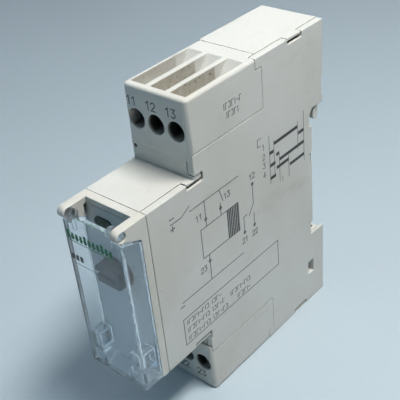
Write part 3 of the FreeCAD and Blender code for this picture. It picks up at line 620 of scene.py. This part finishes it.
def draw_wiring():
    """The wiring diagram: supply lines, coil box with its drops, and the changeover contact."""
    print_on = Printer(LID_FACE, ACROSS_LID, UPWARDS)
    supply_start, supply_end, drop = -46.8, -30.0, -42.0
    print_on.line([(-53.0, LINE_TOP), (-49.7, LINE_TOP), (supply_start, LINE_TOP + 1.4)], THIN)
    print_on.line([(supply_start, LINE_TOP), (supply_end, LINE_TOP)], THIN)
    print_on.line([(-52.4, LINE_LOW), (supply_end, LINE_LOW)], THIN)
    coil_left, coil_right, coil_dark = -44.0, -30.6, -34.8
    print_on.line([(coil_left, COIL_TOP), (coil_right, COIL_TOP), (coil_right, COIL_LOW),
                   (coil_left, COIL_LOW), (coil_left, COIL_TOP)], THIN)
    print_on.line([(drop, LINE_TOP), (drop, COIL_TOP)], THIN)
    print_on.line([(drop, COIL_LOW), (drop, LINE_LOW)], THIN)
    control = -36.8
    print_on.line([(control, LINE_TOP), (control + 1.0, LINE_TOP - 3.4)], THIN)
    print_on.line([(control, LINE_TOP - 3.6), (control, COIL_TOP)], THIN)
    common, rest, work = -25.0, -28.9, -25.0
    contact_top, contact_low = 3.2, -0.8
    print_on.line([(common, 11.0), (common, 5.6), (common - 1.8, 3.0)], THIN)
    print_on.line([(rest + 1.2, contact_top + 0.5), (rest, contact_top + 0.5), (rest, contact_low)], THIN)
    print_on.line([(work, contact_top - 0.6), (work, contact_low)], THIN)
    for centre in ((drop, 11.0), (drop, -0.9), (control, 11.0), (common, 11.0),
                   (rest, contact_low), (work, contact_low)):
        print_on.dot(centre, 0.5)
    for text, centre in (("11", (-44.2, 12.6)), ("13", (-34.3, 13.2)), ("23", (-44.3, -2.0)),
                         ("12", (common, 13.2)), ("21", (rest, -3.0)), ("22", (work, -3.0))):
        print_on.digits(text, centre, SMALL_NUMERAL, MARK)
    for height in (LINE_TOP + 1.3, LINE_TOP - 1.3, LINE_LOW - 1.1):
        print_on.line([(-53.1, height), (-51.9, height)], 0.32)
    print_on.line([(-52.5, LINE_TOP - 1.9), (-52.5, LINE_TOP - 0.7)], 0.32)
    print_on.finish("lid_wiring_diagram", "housing", grey_ink)
    hatch = Printer(LID_FACE, ACROSS_LID, UPWARDS)
    strokes = 7
    pitch = (coil_right - coil_dark) / strokes
    for stroke in range(strokes):
        start = coil_dark + pitch * stroke
        hatch.box((start, COIL_LOW), (start + 0.72 * pitch, COIL_TOP))
    hatch.finish("lid_coil_hatch", "housing", dark_ink)


def filler_row(print_on, left, right, height, middle, weight):
    """A row of plain marks in place of small text: ticks, hooks, brackets and dashes, with gaps."""
    low, high = middle - height / 2, middle + height / 2
    wide = 0.6
    # Each mark's points, across from where it starts, and the step to the next one.
    shapes = {
        "tick": ([(0.1, low), (0.1, high)], 0.62),
        "hook": ([(0.0, low), (0.0, high), (0.55, high)], 1.05),
        "bracket": ([(0.0, high), (wide, high), (wide, low), (0.0, low)], 1.1),
        "dash": ([(0.0, middle), (wide, middle)], 1.0),
        "gap": ([], 0.8),
    }
    order = ("tick hook bracket hook tick dash hook tick bracket gap"
             " tick bracket hook dash hook bracket gap").split()
    at = left
    index = 0
    while at + wide < right:
        points, step = shapes[order[index % len(order)]]
        print_on.line([(at + x, y) for x, y in points], weight)
        at += step
        index += 1


def draw_rating_box():
    """The framed box near the lower edge, with three rows of filler marks."""
    print_on = Printer(LID_FACE, ACROSS_LID, UPWARDS)
    left, right, top, low = -52.9, -16.1, -11.3, -19.1
    print_on.line([(left, top), (right, top), (right, low), (left, low), (left, top)], THIN)
    rows = ((-12.95, ((-51.8, -38.8),)),
            (-15.35, ((-51.8, -38.0), (-35.9, -26.8))),
            (-17.85, ((-51.8, -35.6), (-33.4, -27.8))))
    for middle, spans in rows:
        for start, end in spans:
            filler_row(print_on, start, end, 1.15, middle, MARK)
    print_on.finish("lid_rating_box", "housing", grey_ink)


def draw_timing_chart():
    """The timing diagram by the rail: signal bars on thin guide lines."""
    bars = Printer(LID_FACE, ACROSS_LID, UPWARDS)
    left, right = -17.8, -3.6
    pulse, changed, released, ended = -16.0, -14.0, -10.2, -6.2
    signals = (
        (pulse, ended, 17.5), (ended + 0.2, right, 15.5), (left, pulse - 0.2, 15.6),
        (pulse + 0.8, changed, 14.0), (changed, right, 12.1), (left, pulse + 0.4, 12.1),
        (pulse + 0.8, released, 10.3), (released + 0.4, right, 8.5), (left, pulse + 0.4, 8.5),
    )
    for start, end, height in signals:
        bars.line([(start + BAR / 2, height), (end - BAR / 2, height)], BAR)
    bars.finish("lid_timing_bars", "housing", dark_ink)
    guides = Printer(LID_FACE, ACROSS_LID, UPWARDS)
    for at, low, high in ((left, 7.2, 20.4), (pulse, 8.6, 18.3), (changed, 5.8, 14.2),
                          (released, 5.4, 11.4), (ended, 11.0, 18.8), (right, 6.6, 20.6)):
        guides.line([(at, low), (at, high)], GUIDE)
    for row, height in enumerate((18.4, 15.8, 13.4, 10.8)):
        guides.digits(str(row + 1), (-20.1, height), SMALL_NUMERAL, GUIDE)
    guides.line([(-20.9, 21.4), (-22.2, 21.4), (-22.2, 19.4), (-21.2, 19.4)], 0.22)
    guides.line([(-12.9, 5.2), (-12.9, 6.7)], GUIDE)
    guides.line([(-0.8, 4.9), (-0.8, 7.0), (-1.3, 7.0)], MARK)
    guides.finish("lid_timing_guides", "housing", grey_ink)


def draw_batch_marks():
    """Two short rows of filler marks on the upper terminal cover's side."""
    print_on = Printer((cap_high.x, 0.0, 0.0), ACROSS_LID, UPWARDS)
    for middle, start, end in ((34.9, -33.0, -26.3), (32.6, -32.2, -27.2)):
        filler_row(print_on, start, end, 1.35, middle, 0.21)
    print_on.finish("cap_batch_marks", "housing", numeral_ink)


draw_wiring()
draw_rating_box()
draw_timing_chart()
draw_batch_marks()

# ------------------------------------------------- numerals by the terminals

# In mm: the numerals' height and stroke, their level, and the columns they stand in.
NUMERAL_HEIGHT = 2.0
NUMERAL_STROKE = 0.27
NUMERAL_LEVEL = 37.75
COLUMN_PITCH = 5.7
COLUMN_MIDDLE = -1.15


def number_terminals(name, texts, side):
    """Plain terminal numbers on a terminal cover's front face."""
    print_on = Printer((0.0, cap_low.y, 0.0), ACROSS_FRONT, UPWARDS)
    for column, text in enumerate(texts):
        centre = (COLUMN_MIDDLE + COLUMN_PITCH * (column - 1), side * NUMERAL_LEVEL)
        print_on.digits(text, centre, NUMERAL_HEIGHT, NUMERAL_STROKE)
    print_on.finish(name, "housing", numeral_ink)


number_terminals("upper_terminal_numbers", ("11", "12", "13"), 1)
number_terminals("lower_terminal_numbers", ("21", "22", "23"), -1)

# ------------------------------------------------------- print on the cover

# The cover is printed on its face, which lies behind its finger pull.
FACE_SETBACK = 0.8 * MM
COVER_FACE = (0.0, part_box("clear_cover")[0].y + FACE_SETBACK, 0.0)


def draw_cover_mark():
    """A plain green band of blocks between two rules, and a short dark row of bars with its rule."""
    mark = Printer(COVER_FACE, ACROSS_FRONT, UPWARDS)
    left, right, low, high = -8.1, 6.2, 14.7, 16.5
    blocks = 11
    pitch = (right - left) / blocks
    for block in range(blocks):
        start = left + pitch * block
        top_of_block = high + (0.5 if block % 4 == 0 else 0.0)
        mark.box((start, low), (start + 0.62 * pitch, top_of_block))
    for height in (low - 0.45, low + 0.75):
        mark.line([(left, height), (right - 0.5, height)], 0.22)
    mark.finish("cover_green_band", "cover", green_ink)
    caption = Printer(COVER_FACE, ACROSS_FRONT, UPWARDS)
    for bar in range(3):
        start = left + 1.35 * bar
        caption.box((start, 9.0), (start + 0.95, 10.5))
    caption.line([(-8.2, 8.0), (-0.6, 8.0)], 0.16)
    caption.finish("cover_caption_marks", "cover", dark_ink)


draw_cover_mark()

# ------------------------------------------------------- scale on the fascia

knob_low, knob_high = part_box("time_knob")
knob_middle = (knob_low.z + knob_high.z) / 2 / MM
FASCIA_FACE = (0.0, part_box("front_fascia")[0].y, 0.0)


def draw_scale():
    """The time scale round the knob: ticks over its turn, longer at the ends and in the middle."""
    scale = Printer(FASCIA_FACE, ACROSS_FRONT, UPWARDS)
    inner, outer = 5.1, 5.8
    first, sweep, steps = 225, 270, 10
    for step in range(steps + 1):
        turn = math.radians(first - sweep * step / steps)
        reach = outer + (0.5 if step % 5 == 0 else 0.0)
        scale.line([(r * math.cos(turn), knob_middle + r * math.sin(turn)) for r in (inner, reach)], 0.18)
    scale.finish("fascia_scale", "housing", scale_ink)


draw_scale()

# ------------------------------------------------------------ floor and light

# A roll of paper, in metres: flat under the object, curving up into a wall behind it.
PAPER_FRONT = -1.6
PAPER_BEND = 1.1
PAPER_HALF_WIDTH = 3.0
PAPER_TURN = math.radians(40)
BEND_RADIUS = 0.5
BEND_STEPS = 12
WALL_HEIGHT = 1.4


def lay_paper():
    """The studio floor and its wall."""
    profile = [(PAPER_FRONT, 0.0), (PAPER_BEND, 0.0)]
    for step in range(1, BEND_STEPS + 1):
        turn = math.pi / 2 * step / BEND_STEPS
        profile.append((PAPER_BEND + BEND_RADIUS * math.sin(turn), BEND_RADIUS * (1.0 - math.cos(turn))))
    profile.append((PAPER_BEND + BEND_RADIUS, BEND_RADIUS + WALL_HEIGHT))
    mesh = bmesh.new()
    sides = (-PAPER_HALF_WIDTH, PAPER_HALF_WIDTH)
    rows = [[mesh.verts.new((x, y, cad_low.z + z)) for x in sides] for y, z in profile]
    for near, far in zip(rows, rows[1:]):
        mesh.faces.new((near[0], near[1], far[1], far[0]))
    data = bpy.data.meshes.new("studio_floor")
    mesh.to_mesh(data)
    mesh.free()
    data.shade_smooth()
    data.materials.append(studio_paper("studio_paper"))
    floor = bpy.data.objects.new("studio_floor", data)
    bpy.context.scene.collection.objects.link(floor)
    floor.rotation_euler.z = PAPER_TURN


def add_area(name, place, target, size, power, colour):
    """A soft lamp at place, turned to target, with its size across X and along its other side."""
    lamp = bpy.data.lights.new(name, "AREA")
    lamp.shape = "RECTANGLE"
    lamp.size, lamp.size_y = size
    lamp.energy = power
    lamp.color = colour
    item = bpy.data.objects.new(name, lamp)
    item.location = place
    item.rotation_euler = (Vector(target) - Vector(place)).to_track_quat("-Z", "Y").to_euler()
    bpy.context.scene.collection.objects.link(item)


WARM_WHITE = (1.0, 0.985, 0.955)
COOL_WHITE = (0.93, 0.97, 1.0)
SKY_BLUE = (0.16, 0.62, 1.0)


def light_studio():
    """A key lamp just behind the fronts, a blue fill before them, and lamps for the paper."""
    add_area("key_light", (0.125, 0.015, 0.36), (0.0, -0.01, 0.0), (0.14, 0.08), 1.55, WARM_WHITE)
    add_area("fill_light", (-0.25, -0.6, 0.35), (0.0, -0.03, 0.0), (0.5, 0.5), 0.45, SKY_BLUE)
    add_area("ceiling_light", (0.0, 0.0, 1.5), (0.0, 0.0, 0.0), (2.4, 2.4), 7.0, COOL_WHITE)
    # These face away from the object, so that the paper stays pale to its edges.
    for turn in range(0, 360, 60):
        away = Vector((math.cos(math.radians(turn)), math.sin(math.radians(turn)), 0.0))
        place = away * 0.6 + Vector((0.0, 0.0, 0.9))
        target = away * 2.8 + Vector((0.0, 0.0, 0.5))
        add_area("paper_light_%d" % turn, place, target, (0.4, 0.4), 9.0, COOL_WHITE)


def surround_studio():
    """A room that is pale to look at, and lights the object only faintly."""
    world = bpy.data.worlds.new("studio_world")
    world.use_nodes = True
    backdrop = world.node_tree.nodes["Background"]
    backdrop.inputs["Color"].default_value = (0.80, 0.87, 0.96, 1.0)
    seen = world.node_tree.nodes.new("ShaderNodeLightPath").outputs["Is Camera Ray"]
    room = world.node_tree.nodes.new("ShaderNodeMapRange")
    room.inputs["To Min"].default_value = 0.03
    room.inputs["To Max"].default_value = 0.42
    world.node_tree.links.new(seen, room.inputs["Value"])
    world.node_tree.links.new(room.outputs["Result"], backdrop.inputs["Strength"])
    bpy.context.scene.world = world


lay_paper()
light_studio()
surround_studio()

# --------------------------------------------------------------------- camera

AZIMUTH = math.radians(43.94)
ELEVATION = math.radians(33.98)
ROLL = math.radians(-6.09)
DISTANCE = 192.1 * MM
AIM = Vector((0.0, -33.87, 8.12)) * MM
# In mm, as the camera counts them.
FOCAL_LENGTH = 72.7
SENSOR_WIDTH = 36.0


def set_camera():
    """The camera, looking at AIM from DISTANCE away and rolled a little."""
    back = Vector((math.sin(AZIMUTH) * math.cos(ELEVATION), -math.cos(AZIMUTH) * math.cos(ELEVATION),
                   math.sin(ELEVATION)))
    right = Vector((math.cos(AZIMUTH), math.sin(AZIMUTH), 0.0))
    top = back.cross(right)
    image_right = right * math.cos(ROLL) + top * math.sin(ROLL)
    image_top = top * math.cos(ROLL) - right * math.sin(ROLL)
    place = AIM + back * DISTANCE
    lens = bpy.data.cameras.new("camera")
    lens.lens = FOCAL_LENGTH
    lens.sensor_width = SENSOR_WIDTH
    lens.clip_start = 0.01
    camera = bpy.data.objects.new("camera", lens)
    axes = [(image_right[i], image_top[i], back[i], place[i]) for i in range(3)]
    camera.matrix_world = Matrix(axes + [(0.0, 0.0, 0.0, 1.0)])
    bpy.context.scene.collection.objects.link(camera)
    bpy.context.scene.camera = camera


set_camera()
bpy.context.scene.view_settings.view_transform = "Standard"
